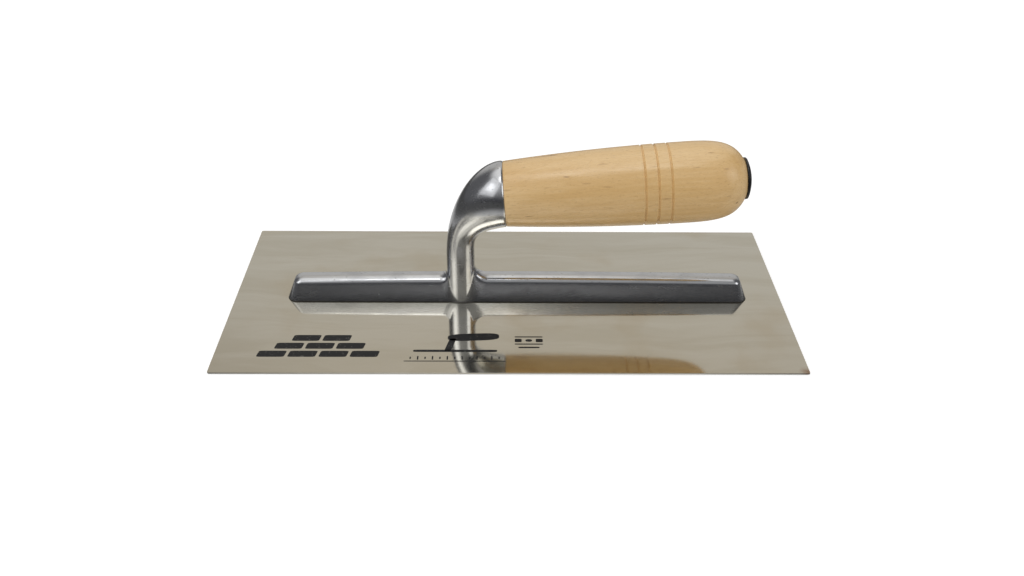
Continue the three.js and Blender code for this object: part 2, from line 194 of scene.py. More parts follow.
@dataclass(frozen=True)
class TurningAxis:
    """The handle's axis: it starts at the centre of the ferrule's face and climbs towards the heel."""

    x: float
    z: float
    tilt: float

    @property
    def along(self) -> Points:
        """The unit vector from the ferrule to the heel."""
        angle = math.radians(self.tilt)
        return np.array([math.cos(angle), 0.0, math.sin(angle)])

    @property
    def up(self) -> Points:
        """The unit vector square to the axis in the plane of symmetry."""
        angle = math.radians(self.tilt)
        return np.array([-math.sin(angle), 0.0, math.cos(angle)])

    def point(self, distance: float, radius: float = 0.0) -> Points:
        """The point at a distance behind the ferrule's face and a radius above the axis."""
        return np.array([self.x, 0.0, self.z]) + distance * self.along + radius * self.up

    def sweep(self, profile: Points, columns: int) -> Points:
        """Turns a profile about the axis: each profile point becomes a ring that starts at its lowest
        point, centre on the axis plus radius times (cos of the angle across, sin of the angle up).

        Args:
            profile: pairs of distance behind the ferrule's face and radius.
            columns: how many points each ring has.

        Returns:
            A grid with a row for each profile point.
        """
        angle = np.linspace(0, 2 * math.pi, columns, endpoint=False) - math.pi / 2
        spoke = np.cos(angle)[:, None] * np.array([0.0, 1.0, 0.0]) + np.sin(angle)[:, None] * self.up
        centre = self.point(0.0) + profile[:, :1] * self.along
        return centre[:, None, :] + profile[:, 1:, None] * spoke[None, :, :]


# --- Shader wiring ---


class Graph:
    """A node tree being wired up. Inputs given as sockets are linked, and other values are set."""

    def __init__(self, tree: bpy.types.NodeTree) -> None:
        """Starts on a tree as it is."""
        self.tree = tree

    def link(self, value: Socket, node: Node, name: str | int) -> None:
        """Links a value to a node's input."""
        self.tree.links.new(value, node.inputs[name])

    def fill(self, node: Node, values: dict[str | int, object]) -> Node:
        """Links or sets a node's inputs, by name or number.

        Args:
            node: the node.
            values: what each input is linked or set to.

        Returns:
            The same node.
        """
        for key, value in values.items():
            if isinstance(value, Socket):
                self.link(value, node, key)
            else:
                node.inputs[key].default_value = value
        return node

    def node(self, kind: str, values: dict[str | int, object] | None = None, **settings: object) -> Node:
        """Adds a node.

        Args:
            kind: its type, without the ShaderNode at the start.
            values: what its inputs are set or linked to, by name or number.
            **settings: its own properties.

        Returns:
            The node.
        """
        made = self.tree.nodes.new("ShaderNode" + kind)
        for key, value in settings.items():
            setattr(made, key, value)
        return self.fill(made, values or {})

    def math(self, operation: str, *values: object) -> Socket:
        """A sum, product or other operation on up to three values."""
        return self.node("Math", dict(enumerate(values)), operation=operation).outputs[0]

    def times(self, first: object, second: object) -> Socket:
        """The product of two values."""
        return self.math("MULTIPLY", first, second)

    def total(self, start: object, *parts: tuple[Socket, float]) -> Socket:
        """Adds up weighted values.

        Args:
            start: the first value.
            *parts: what is added to it, each with its weight.

        Returns:
            The first value plus each part times its weight.
        """
        for part, weight in parts:
            start = self.math("ADD", start, self.times(part, weight))
        return start

    def remap(
        self, value: Socket, low: float, high: float, new_low: float = 0.0, new_high: float = 1.0
    ) -> Socket:
        """Carries one range smoothly to another, and holds it at the ends.

        Args:
            value: the value to carry.
            low: where the range starts.
            high: where it ends.
            new_low: what the start becomes.
            new_high: what the end becomes.

        Returns:
            The value carried.
        """
        made = self.node("MapRange", interpolation_type="SMOOTHSTEP")
        limits = {"From Min": low, "From Max": high, "To Min": new_low, "To Max": new_high}
        return self.fill(made, {"Value": value, **limits}).outputs["Result"]

    def mix(self, factor: object, first: object, second: object) -> Socket:
        """Mixes two colours."""
        return self.node("Mix", {0: factor, 6: first, 7: second}, data_type="RGBA").outputs[2]

    def layers(self, colour: object, *coats: tuple[Socket, object]) -> Socket:
        """Lays colours over one another.

        Args:
            colour: the lowest colour.
            *coats: what goes over it in turn, each a mask and a colour.

        Returns:
            The colour on top.
        """
        for mask, coat in coats:
            colour = self.mix(mask, colour, coat)
        return colour

    def noise(
        self,
        vector: Socket,
        scale: float | Triple,
        detail: float = 3.0,
        rough: float = 0.5,
        bend: float = 0.0,
    ) -> Socket:
        """Fractal noise from 0 to 1.

        Args:
            vector: the place.
            scale: one scale, or a scale along each axis.
            detail: how many finer layers it has.
            rough: how strong the finer layers are.
            bend: how far it is distorted.

        Returns:
            The noise.
        """
        if isinstance(scale, tuple):
            vector, scale = self.stretch(vector, scale), 1.0
        values = {"Vector": vector, "Scale": scale, "Detail": detail, "Roughness": rough, "Distortion": bend}
        return self.node("TexNoise", values).outputs[0]

    def vector(self, operation: str, first: Socket, second: object) -> Node:
        """An operation on two vectors."""
        return self.node("VectorMath", {0: first, 1: second}, operation=operation)

    def stretch(self, vector: Socket, scale: object) -> Socket:
        """Scales a vector along each axis."""
        return self.vector("MULTIPLY", vector, scale).outputs[0]

    def wobble(self, vector: Socket, scale: float, amount: float) -> Socket:
        """Moves a vector about by soft noise.

        Args:
            vector: the place.
            scale: the noise's scale.
            amount: twice the most it moves along an axis, in metres.

        Returns:
            The place moved.
        """
        drift = self.node("TexNoise", {"Vector": vector, "Scale": scale, "Detail": 2.0}).outputs["Color"]
        centred = self.vector("SUBTRACT", drift, (0.5, 0.5, 0.5)).outputs[0]
        moved = self.stretch(centred, (amount, amount, amount))
        return self.vector("ADD", vector, moved).outputs[0]


@dataclass(frozen=True)
class Effect:
    """A shader group that several finishes share: its sockets, and the function that wires it."""

    name: str
    inputs: dict[str, float]
    outputs: tuple[str, ...]
    wire: Callable[[Graph, Node, Node], None]

    def tree(self) -> bpy.types.NodeTree:
        """The group's node tree, built the first time it is asked for.

        Returns:
            The tree, with a Vector input besides its named values.
        """
        if self.name in bpy.data.node_groups:
            return bpy.data.node_groups[self.name]
        made = bpy.data.node_groups.new(self.name, "ShaderNodeTree")
        made.interface.new_socket("Vector", in_out="INPUT", socket_type="NodeSocketVector")
        for key, value in self.inputs.items():
            socket = made.interface.new_socket(key, in_out="INPUT", socket_type="NodeSocketFloat")
            socket.default_value = value
        for key in self.outputs:
            made.interface.new_socket(key, in_out="OUTPUT", socket_type="NodeSocketFloat")
        entry, leave = made.nodes.new("NodeGroupInput"), made.nodes.new("NodeGroupOutput")
        self.wire(Graph(made), entry, leave)
        return made

    def placed(self, graph: Graph, place: Socket, *values: float) -> bpy.types.bpy_prop_collection:
        """Puts the group into a finish.

        Args:
            graph: the finish's graph.
            place: its coordinates.
            *values: the named inputs' values, in their order.

        Returns:
            The group's outputs, by name.
        """
        made = graph.node("Group", node_tree=self.tree())
        return graph.fill(made, {"Vector": place, **dict(zip(self.inputs, values))}).outputs


def wire_polish(graph: Graph, entry: Node, leave: Node) -> None:
    """Polishing marks: fine lines that run along X, broken up by soft clouds.

    Args:
        graph: the group's tree.
        entry: its input node, with Vector, Line Density, Cloud Scale.
        leave: its output node, with Lines, Clouds and Scratches.
    """
    place = entry.outputs["Vector"]
    density = entry.outputs["Line Density"]
    spread = graph.node("CombineXYZ", {"X": 9.0, "Y": density, "Z": density})
    stretched = graph.stretch(place, spread.outputs[0])
    lines = graph.noise(stretched, 1.0, detail=4.0, rough=0.65)
    clouds = graph.node("TexNoise", {"Vector": place, "Scale": entry.outputs["Cloud Scale"], "Detail": 4.0})
    nicks = graph.noise(stretched, (7.0, 0.6, 0.6), detail=2.0, rough=0.4, bend=0.6)
    graph.link(lines, leave, "Lines")
    graph.link(clouds.outputs[0], leave, "Clouds")
    graph.link(graph.remap(nicks, 0.66, 0.74), leave, "Scratches")


def wire_grime(graph: Graph, entry: Node, leave: Node) -> None:
    """Dust and handling marks: a mask of small specks and a mask of soft smears.

    Args:
        graph: the group's tree.
        entry: its input node, with Vector, Speck Scale and Speck Amount.
        leave: its output node, with Specks and Smears.
    """
    place = entry.outputs["Vector"]
    scale = entry.outputs["Speck Scale"]
    cells = graph.node("TexVoronoi", {"Vector": place, "Scale": scale, "Randomness": 1.0})
    size = graph.node("SeparateColor", {0: cells.outputs["Color"]}).outputs[0]
    reach = graph.times(size, entry.outputs["Speck Amount"])
    inside = graph.total(reach, (cells.outputs["Distance"], -1.0))
    smears = graph.noise(graph.stretch(place, (0.4, 1.0, 1.0)), 34.0, detail=5.0, rough=0.6, bend=0.8)
    graph.link(graph.remap(inside, 0.0, 0.05), leave, "Specks")
    graph.link(graph.remap(smears, 0.42, 0.75), leave, "Smears")


POLISH_VALUES = {"Line Density": 900.0, "Cloud Scale": 60.0}
GRIME_VALUES = {"Speck Scale": 400.0, "Speck Amount": 0.25}
POLISH = Effect("polishing_marks", POLISH_VALUES, ("Lines", "Clouds", "Scratches"), wire_polish)
GRIME = Effect("dust_and_smears", GRIME_VALUES, ("Specks", "Smears"), wire_grime)


class Paint:
    """A material being made, with its graph, its Principled BSDF and the Object coordinates."""

    def __init__(self, name: str) -> None:
        """Starts a material.

        Args:
            name: its name.
        """
        self.material = bpy.data.materials.new(name)
        self.material.use_nodes = True
        self.graph = Graph(self.material.node_tree)
        self.shader = self.material.node_tree.nodes["Principled BSDF"]
        self.place = self.graph.node("TexCoord").outputs["Object"]

    def finish(
        self, colour: Socket, rough: Socket, height: Socket, strength: float, depth: float, metal: float = 0.0
    ) -> Material:
        """Links what was worked out to the shader.

        Args:
            colour: the base colour.
            rough: the roughness.
            height: the relief, from 0 to 1.
            strength: how much of the relief shows, from 0 to 1.
            depth: what a height of 1 stands for, in millimetres.
            metal: 1 for metal.

        Returns:
            The material.
        """
        relief = {"Height": height, "Strength": strength, "Distance": depth * MM}
        normal = self.graph.node("Bump", relief).outputs["Normal"]
        values = {"Base Color": colour, "Roughness": rough, "Normal": normal, "Metallic": metal}
        self.graph.fill(self.shader, values)
        return self.material


# --- Finishes ---


@dataclass(frozen=True)
class RolledSteel:
    """Mirror-polished stainless sheet, with rolling figure along the blade and a straw heat tint."""

    pale: Colour = (0.73, 0.70, 0.615, 1.0)
    deep: Colour = (0.67, 0.635, 0.54, 1.0)
    straw: Colour = (0.62, 0.54, 0.40, 1.0)
    rust: Colour = (0.30, 0.12, 0.04, 1.0)
    tint_corner: Pair = (140.0, -62.5)
    tint_reach: float = 9.0

    def material(self) -> Material:
        """Builds the material.

        Returns:
            The blade's material.
        """
        paint = Paint("rolled_stainless")
        graph, place = paint.graph, paint.place
        bent = graph.wobble(place, 14.0, 0.02)
        figure = graph.noise(bent, (7.0, 62.0, 30.0), detail=5.0, rough=0.62, bend=0.5)
        hair = graph.noise(place, (16.0, 1500.0, 700.0), rough=0.6)
        polish = POLISH.placed(graph, place, 420.0, 22.0)
        grime = GRIME.placed(graph, place, 260.0, 0.12)
        colour = graph.layers(
            self.pale,
            (graph.remap(figure, 0.36, 0.64), self.deep),
            (graph.remap(polish["Clouds"], 0.5, 0.72, 0.0, 0.45), self.straw),
            (self._corner(graph, place), self.rust),
        )
        rough = graph.total(0.045, (hair, 0.05), (grime["Smears"], 0.05))
        height = graph.total(figure, (hair, 0.02))
        return paint.finish(colour, rough, height, 0.35, 0.05, metal=1.0)

    def _corner(self, graph: Graph, place: Socket) -> Socket:
        """The brown stain that starts at one corner.

        Args:
            graph: the material's graph.
            place: the object coordinates.

        Returns:
            Its mask.
        """
        corner = (self.tint_corner[0] * MM, self.tint_corner[1] * MM, 0.0)
        reach = graph.vector("DISTANCE", place, corner).outputs["Value"]
        ragged = graph.total(reach, (graph.noise(place, 420.0, detail=4.0), 0.006))
        edge = self.tint_reach * MM
        return graph.remap(ragged, 0.25 * edge, edge, 0.8, 0.0)


@dataclass(frozen=True)
class CastAluminium:
    """Cast aluminium, belt-polished: soft pores, fine lines along the tool, dirt and a painted contact shadow
    where it meets the blade, and painted shade that darkens its lowest part."""

    bright: Colour = (0.66, 0.67, 0.69, 1.0)
    dull: Colour = (0.50, 0.51, 0.53, 1.0)
    # colour of the dust specks, and of the seam's dirt and painted contact shadow
    dirt_and_shade: Colour = (0.05, 0.045, 0.035, 1.0)
    # painted shade colour for the lowest part of the casting
    painted_low_shade: Colour = (0.33, 0.34, 0.35, 1.0)
    deck: float = 0.8
    # height above the blade over which the seam's dirt and painted contact shadow fade out
    seam_dirt_and_shade_height: float = 0.55
    # height above the blade over which the painted low shade fades out
    low_shade_height: float = 9.0

    def material(self) -> Material:
        """Builds the material.

        Returns:
            The casting's material.
        """
        paint = Paint("cast_aluminium")
        graph, place = paint.graph, paint.place
        polish = POLISH.placed(graph, place, 1300.0, 95.0)
        grime = GRIME.placed(graph, place, 520.0, 0.22)
        clouds = polish["Clouds"]
        height = graph.node("SeparateXYZ", {0: place}).outputs["Z"]
        low = graph.total(height, (graph.noise(place, 900.0), -0.5 * MM))
        # seam: dirt and a painted contact shadow along the bottom edge, where the casting meets the blade
        seam = graph.remap(low, (self.deck + 0.12) * MM, (self.deck + self.seam_dirt_and_shade_height) * MM, 0.92, 0.0)
        # foot: painted shade, darker towards the blade over the lowest part of the casting
        foot = graph.remap(height, self.deck * MM, (self.deck + self.low_shade_height) * MM, 0.6, 0.0)
        colour = graph.layers(
            self.bright,
            (graph.remap(clouds, 0.42, 0.75, 0.0, 0.55), self.dull),
            (graph.times(grime["Specks"], 0.5), self.dirt_and_shade),
            (foot, self.painted_low_shade),
            (seam, self.dirt_and_shade),
        )
        rough = graph.remap(clouds, 0.3, 0.75, 0.16, 0.25)
        rough = graph.total(rough, (polish["Scratches"], 0.12), (seam, 0.3))
        pores = graph.noise(place, 1500.0, detail=2.0)
        relief = graph.total(0.0, (polish["Lines"], 0.5), (pores, 0.1), (clouds, 0.5))
        return paint.finish(colour, rough, relief, 0.35, 0.03, metal=1.0)


@dataclass(frozen=True)
class Beech:
    """Pale turned beech under clear varnish. The grain runs along the handle's own axis."""

    axis: TurningAxis
    light: Colour = (0.90, 0.635, 0.325, 1.0)
    tan: Colour = (0.745, 0.475, 0.19, 1.0)
    fleck: Colour = (0.36, 0.185, 0.07, 1.0)
    dust: Colour = (0.22, 0.12, 0.05, 1.0)
    varnish: float = 0.8

    def material(self) -> Material:
        """Builds the material.

        Returns:
            The handle's material.
        """
        paint = Paint("varnished_beech")
        graph, place = paint.graph, paint.place
        grain = self._lengthwise(graph, place)
        shifted = graph.wobble(grain, 22.0, 0.004)
        wave = {
            "Vector": graph.stretch(shifted, (1.2, 20.0, 34.0)),
            "Scale": 1.0,
            "Distortion": 2.4,
            "Detail": 3.0,
            "Detail Scale": 0.9,
            "Detail Roughness": 0.55,
        }
        rings = graph.node("TexWave", wave, wave_type="RINGS", rings_direction="X").outputs[1]
        streaks = graph.noise(shifted, (26.0, 560.0, 560.0), detail=6.0, rough=0.66)
        fibres = graph.noise(grain, (230.0, 2300.0, 2300.0), detail=4.0, rough=0.7)
        patches = graph.noise(grain, (16.0, 60.0, 60.0), detail=2.0)
        pores = graph.noise(grain, (620.0, 1900.0, 1900.0), detail=1.0)
        flecks = self._flecks(graph, grain)
        grime = GRIME.placed(graph, place, 95.0, 0.03)
        tone = graph.total(0.0, (rings, 0.26), (streaks, 0.8))
        colour = graph.layers(
            self.light,
            (graph.remap(tone, 0.30, 0.82), self.tan),
            (graph.remap(patches, 0.45, 0.8, 0.0, 0.3), self.tan),
            (graph.remap(fibres, 0.40, 0.72, 0.0, 0.5), self.tan),
            (flecks, self.fleck),
            (graph.remap(pores, 0.58, 0.72, 0.0, 0.22), self.fleck),
            (graph.times(grime["Specks"], 0.7), self.dust),
        )
        rough = graph.total(0.2, (streaks, 0.12), (grime["Smears"], 0.08))
        paint.shader.inputs["Specular IOR Level"].default_value = self.varnish
        relief = graph.total(0.0, (fibres, 0.5), (streaks, 0.6), (flecks, -0.5), (pores, -0.35))
        return paint.finish(colour, rough, relief, 0.45, 0.09)

    def _lengthwise(self, graph: Graph, place: Socket) -> Socket:
        """Turns coordinates so that X runs along the handle and starts at the ferrule.

        Args:
            graph: the material's graph.
            place: the object coordinates.

        Returns:
            The turned coordinates.
        """
        start = (-self.axis.x * MM, 0.0, -self.axis.z * MM)
        centred = graph.vector("ADD", place, start).outputs[0]
        turn = (0.0, math.radians(self.axis.tilt), 0.0)
        return graph.node("Mapping", {"Vector": centred, "Rotation": turn}, vector_type="POINT").outputs[0]

    def _flecks(self, graph: Graph, grain: Socket) -> Socket:
        """Short dark dashes along the grain, which are beech's medullary rays and small pins.

        Args:
            graph: the material's graph.
            grain: coordinates along the grain.

        Returns:
            Their mask.
        """
        cell = {"Vector": graph.stretch(grain, (95.0, 620.0, 620.0)), "Scale": 1.0, "Randomness": 1.0}
        cells = graph.node("TexVoronoi", cell)
        chance = graph.node("SeparateColor", {0: cells.outputs["Color"]}).outputs[1]
        reach = graph.remap(chance, 0.72, 1.0, 0.0, 0.34)
        inside = graph.total(reach, (cells.outputs["Distance"], -1.0))
        fine = graph.remap(inside, 0.0, 0.16, 0.0, 0.34)
        dashes = graph.noise(grain, (62.0, 420.0, 420.0), detail=1.0, rough=0.4, bend=0.3)
        marks = graph.remap(dashes, 0.72, 0.79, 0.0, 0.75)
        return graph.math("MAXIMUM", fine, marks)


@dataclass(frozen=True)
class MouldedPlastic:
    """Glossy black moulded plastic with faint swirls and dust."""

    black: Colour = (0.010, 0.010, 0.013, 1.0)
    scuffed: Colour = (0.035, 0.035, 0.04, 1.0)

    def material(self) -> Material:
        """Builds the material.

        Returns:
            The end cap's material.
        """
        paint = Paint("black_plastic")
        graph, place = paint.graph, paint.place
        grime = GRIME.placed(graph, place, 700.0, 0.2)
        wear = graph.math("MAXIMUM", grime["Specks"], graph.times(grime["Smears"], 0.5))
        colour = graph.mix(wear, self.black, self.scuffed)
        rough = graph.total(0.2, (wear, 0.18))
        return paint.finish(colour, rough, graph.noise(place, 900.0), 0.15, 0.03)


@dataclass(frozen=True)
class PlatedSteel:
    """Zinc-plated or ground metal of the small hardware."""

    name: str
    pale: Colour
    dull: Colour
    smooth: float
    coarse: float

    def material(self) -> Material:
        """Builds the material.

        Returns:
            The material of the rivets, or of the bolt and washers.
        """
        paint = Paint(self.name)
        graph, place = paint.graph, paint.place
        polish = POLISH.placed(graph, place, 1600.0, 240.0)
        clouds = graph.remap(polish["Clouds"], 0.35, 0.7)
        colour = graph.mix(clouds, self.pale, self.dull)
        rough = graph.remap(polish["Clouds"], 0.3, 0.7, self.smooth, self.coarse)
        rough = graph.total(rough, (polish["Scratches"], 0.1))
        return paint.finish(colour, rough, polish["Lines"], 0.3, 0.02, metal=1.0)


@dataclass(frozen=True)
class PrintedInk:
    """Black pad-printing ink, worn thin in spots so that the steel greys it."""

    ink: Colour = (0.003, 0.003, 0.004, 1.0)
    worn: Colour = (0.10, 0.095, 0.085, 1.0)

    def material(self) -> Material:
        """Builds the material.

        Returns:
            The printed marks' material.
        """
        paint = Paint("printed_ink")
        graph, place = paint.graph, paint.place
        grime = GRIME.placed(graph, place, 900.0, 0.3)
        rubbed = graph.noise(place, 260.0, detail=5.0, rough=0.65)
        wear = graph.math("MAXIMUM", graph.remap(rubbed, 0.60, 0.72), grime["Specks"])
        colour = graph.mix(wear, self.ink, self.worn)
        rough = graph.total(0.55, (wear, 0.15))
        return paint.finish(colour, rough, rubbed, 0.2, 0.01)


# --- The mounting ---


@dataclass(frozen=True)
class Spine:
    """The tapered bar that stands on the blade, drawn in at its sides and ends, with a crowned top."""

    x: float
    deck: float
    length: float
    y: float = 1.05
    width: float = 15.6
    height: float = 12.15
    end_drop: float = 1.2
    side_draft: float = 16.0
    end_draft: float = 20.0
    corner_radius: float = 5.0
    end_fullness: float = 0.85
    top_radius: float = 3.1
    crown: float = 0.15
    end_lead: float = 1.1
    long_steps: int = 150
    corner_steps: int = 10
    flat_steps: int = 8
    round_steps: int = 12

    def section(self) -> tuple[Points, Points]:
        """Half of the spine's cross-section, from the blade to the middle of the top: a straight flank,
        a round, and a top that rises by the crown as one less the square of the distance from the middle.

        Returns:
            The height above the blade and the distance from the middle, each as a row.
        """
        draft = math.radians(self.side_draft)
        shoulder = self.height - self.top_radius * (1 - math.sin(draft))
        foot = self.width / 2
        climb = np.linspace(0, 1, self.flat_steps + 1)[:-1, None]
        flank = climb * np.array([shoulder, -shoulder * math.tan(draft)])
        angle = np.linspace(draft, math.pi / 2, self.round_steps + 1)
        start = shoulder * math.tan(draft)
        curl = self.top_radius * (math.cos(draft) - np.cos(angle))
        round_height = self.height - self.top_radius * (1 - np.sin(angle))
        flat = foot - start - curl[-1]
        inward = np.linspace(0, 1, self.flat_steps + 1)[1:]
        top = self.height + self.crown * (1 - (1 - inward) ** 2)
        height = np.concatenate([flank[:, 0], round_height, top])
        half = np.concatenate([foot + flank[:, 1], foot - start - curl, flat * (1 - inward)])
        return height, half

    def crowned(self, x: Points, height: Points) -> Points:
        """Lowers a height towards the two ends, by the square of the distance from the middle."""
        drop = self.end_drop / self.height * (2 * (x - self.x) / self.length) ** 2
        return self.deck + height * (1 - drop)

    def surface(self) -> Surface:
        """Each row is a rectangle with round corners at one level of the section: a corner's centre plus
        its radius times (cos, sin), with the centres sliding along the long sides.

        Returns:
            The closed skin of the spine.
        """
        height, half_width = self.section()
        shrink = self.width / 2 - half_width
        end_inset = shrink * math.tan(math.radians(self.end_draft)) / math.tan(math.radians(self.side_draft))
        half_length = self.length / 2 - np.minimum(end_inset, shrink + self.end_lead)
        radius = np.minimum(self.corner_radius - shrink / 2, half_width * self.end_fullness)
        corner = np.radians(np.linspace(0, 90, self.corner_steps + 1))
        slide = np.linspace(1, -1, self.long_steps + 1)[1:-1]
        still = np.ones_like(corner)
        across = np.ones_like(slide)
        x_sign = np.concatenate([still, slide, -still, -still, -slide, still])
        y_sign = np.concatenate([still, across, still, -still, -across, -still])
        turn = [corner, across * math.pi / 2, corner + math.pi / 2]
        turn += [corner + math.pi, across * 1.5 * math.pi, corner + 1.5 * math.pi]
        angle = np.concatenate(turn)
        rows = [half_length, half_width, radius, height]
        rows = [np.concatenate([[v[0], v[0]], v[1:]])[:, None] for v in rows]
        rows[1][0] = rows[2][0] = 0.0
        level_length, level_width, level_radius, level_height = rows
        x = self.x + x_sign * (level_length - level_radius) + level_radius * np.cos(angle)
        y = self.y + y_sign * (level_width - level_radius) + level_radius * np.sin(angle)
        z = self.crowned(x, level_height * np.ones_like(x))
        return Surface(np.stack([x, y, z], axis=-1))


@dataclass(frozen=True)
class Neck:
    """The gooseneck: a round column that grows out of the spine in a fillet, bends back over the blade
    and swells into the ferrule, with the spigot and the tapped hole inside the handle."""

    spine: Spine
    axis: TurningAxis
    x: float = -24.5
    lengthwise: float = 14.1
    crosswise: float = 14.5
    bend_height: float = 24.0
    ferrule_radius: float = 16.0
    lip: float = 0.8
    lip_drop: float = 0.5
    outer_rise: float = 33.3
    outer_run: float = 11.1
    inner_rise: float = 10.1
    inner_run: float = 17.1
    inner_flare: float = 10.0
    bend_pairing: float = 3.1
    toe_fillet: float = 4.2
    heel_fillet: float = 7.6
    side_fillet: float = 2.6
    spigot_radius: float = 7.0
    spigot_length: float = 6.0
    spigot_chamfer: float = 0.5
    hole_radius: float = 4.3
    hole_depth: float = 12.9
    fillet_pull: float = 0.58
    spread_power: float = 1.5
    sunk_share: float = 0.06
    probe: float = 0.05
    columns: int = 160
    bend_rows: int = 90
    fillet_rows: int = 26
    column_rows: int = 12

    @property
    def angle(self) -> Points:
        """The angle round the neck, where 0 is its heel side."""
        return np.linspace(0, 2 * math.pi, self.columns, endpoint=False)

    def ring(self, outer: Points, inner: Points, half: Points) -> Points:
        """Rings whose lengthwise axis runs from an outer to an inner point, and whose crosswise axis is
        along Y: middle plus arm times cos plus half width times sin.

        Args:
            outer: points on the outside of the bend.
            inner: points on the inside of the bend.
            half: half of each ring's width.

        Returns:
            A grid with a row for each pair.
        """
        middle, arm = (outer + inner) / 2, (inner - outer) / 2
        across = np.array([0.0, 1.0, 0.0]) * half[:, None]
        cos, sin = np.cos(self.angle)[None, :, None], np.sin(self.angle)[None, :, None]
        return middle[:, None, :] + arm[:, None, :] * cos + across[:, None, :] * sin

    def bend(self) -> Points:
        """The bend's rings. Two cubic curves in the plane of symmetry carry the outside and the inside,
        and inside points are paired by 1 - (1 - t) to a power, because the inside is over sooner.

        Returns:
            The grid from the top of the column to the ferrule's lip.
        """
        back, front = self.x - self.lengthwise / 2, self.x + self.lengthwise / 2
        start = self.spine.deck + self.bend_height
        crown = self.axis.point(-self.lip, self.ferrule_radius)
        throat = self.axis.point(-self.lip, -self.ferrule_radius)
        flare = math.radians(self.axis.tilt + self.inner_flare)
        inward = np.array([math.cos(flare), 0.0, math.sin(flare)])
        over = [[back, 0, start], [back, 0, start + self.outer_rise]]
        outside = np.array([*over, crown - self.outer_run * self.axis.along, crown])
        under = [[front, 0, start], [front, 0, start + self.inner_rise]]
        inside = np.array([*under, throat - self.inner_run * inward, throat])
        t = np.linspace(0, 1, self.bend_rows)
        outer, inner = bezier(outside, t), bezier(inside, 1 - (1 - t) ** self.bend_pairing)
        size = np.linalg.norm(outer - inner, axis=1) / 2
        roundness = self.crosswise / self.lengthwise
        return self.ring(outer, inner, size * (roundness + (1 - roundness) * t))

    def foot(self) -> Points:
        """The fillet where the column meets the spine, and the column above it.

        The spine's skin is unrolled into a plane: distance along it, and distance down its section from
        the top's middle. The column cuts that plane in an oval. Moving the oval outwards by the fillet's
        size gives the rail on the spine, moving it up the column gives the other, and a cubic curve
        that leaves both rails along their surfaces joins them.

        Returns:
            The grid from inside the spine to the foot of the bend.
        """
        angle = self.angle
        skin_height, skin_half = (row[::-1] for row in self.spine.section())
        depth = np.concatenate([[0], np.cumsum(np.hypot(np.diff(skin_height), np.diff(skin_half)))])
        slope = math.radians(self.spine.side_draft)
        below = np.arange(1.0, self.spine.height)
        depth = np.concatenate([depth, depth[-1] + below])
        skin_half = np.concatenate([skin_half, skin_half[-1] + below * math.sin(slope)])
        skin_height = np.concatenate([skin_height, skin_height[-1] - below * math.cos(slope)])
        column_x = self.x + self.lengthwise / 2 * np.cos(angle)
        column_y = self.crosswise / 2 * np.sin(angle)
        offset = column_y - self.spine.y
        side = np.sign(offset)
        cut_depth = np.interp(np.abs(offset), skin_half, depth)
        cut_height = np.interp(cut_depth, depth, skin_height)
        unrolled = np.stack([column_x, side * cut_depth], axis=1)
        travel = np.roll(unrolled, -1, axis=0) - np.roll(unrolled, 1, axis=0)
        outward = np.stack([travel[:, 1], -travel[:, 0]], axis=1)
        outward /= np.linalg.norm(outward, axis=1, keepdims=True)
        fore = self.toe_fillet + (self.heel_fillet - self.toe_fillet) * (1 + np.cos(angle)) / 2
        reach = self.side_fillet + (fore - self.side_fillet) * np.abs(np.cos(angle)) ** self.spread_power
        rail = unrolled + reach[:, None] * outward
        rail_depth, rail_side = np.abs(rail[:, 1]), np.sign(rail[:, 1])
        skin = np.stack([skin_half, skin_height], axis=1)
        there = self.follow(skin, depth, rail_depth)
        lean = (self.follow(skin, depth, rail_depth + self.probe) - there) / self.probe
        down = outward[:, 1] * np.where(rail_side == 0, 1, rail_side)
        tangent = np.stack([outward[:, 0], rail_side * down * lean[:, 0], down * lean[:, 1]], axis=1)
        low = np.stack([rail[:, 0], self.spine.y + rail_side * there[:, 0], there[:, 1]], axis=1)
        high = np.stack([column_x, column_y, cut_height + reach], axis=1)
        pull = self.fillet_pull * reach[:, None]
        controls = np.stack([low, low - pull * tangent, high - pull * np.array([0.0, 0.0, 1.0]), high])
        fillet = bezier(controls, np.linspace(0, 1, self.fillet_rows))
        fillet[..., 2] = self.spine.crowned(fillet[..., 0], np.maximum(fillet[..., 2], 0.0))
        top = high * np.array([1.0, 1.0, 0.0]) + np.array([0.0, 0.0, self.spine.deck + self.bend_height])
        rise = np.linspace(0, 1, self.column_rows)[1:-1, None, None]
        column = fillet[-1] + rise * (top - fillet[-1])
        core = np.array([self.x, 0.0, self.spine.deck + self.spine.height / 3])
        sunk = fillet[0] + self.sunk_share * (core - fillet[0])
        return np.concatenate([np.broadcast_to(core, (1, self.columns, 3)), sunk[None], fillet, column])

    def seat(self) -> Points:
        """What lies past the bend, as a profile turned about the handle's axis: the lip's eased
        chamfer, the ferrule's face, the spigot, and the tapped hole to its floor.

        Returns:
            The grid from the lip to the middle of the hole's floor.
        """
        back = self.lip * np.array([-0.9, -0.75, -0.15, -0.04, 0.0])
        edge = self.ferrule_radius - self.lip_drop * np.array([0.02, 0.12, 0.74, 0.86, 1.0])
        lip = np.stack([back, edge], axis=1)
        tip, spigot, cut = self.spigot_length, self.spigot_radius, self.spigot_chamfer
        along = [0.0, tip - cut, tip, tip, -self.hole_depth, -self.hole_depth]
        radius = [spigot, spigot, spigot - cut, self.hole_radius, self.hole_radius, 0.0]
        return self.axis.sweep(np.concatenate([lip, np.column_stack([along, radius])]), self.columns)

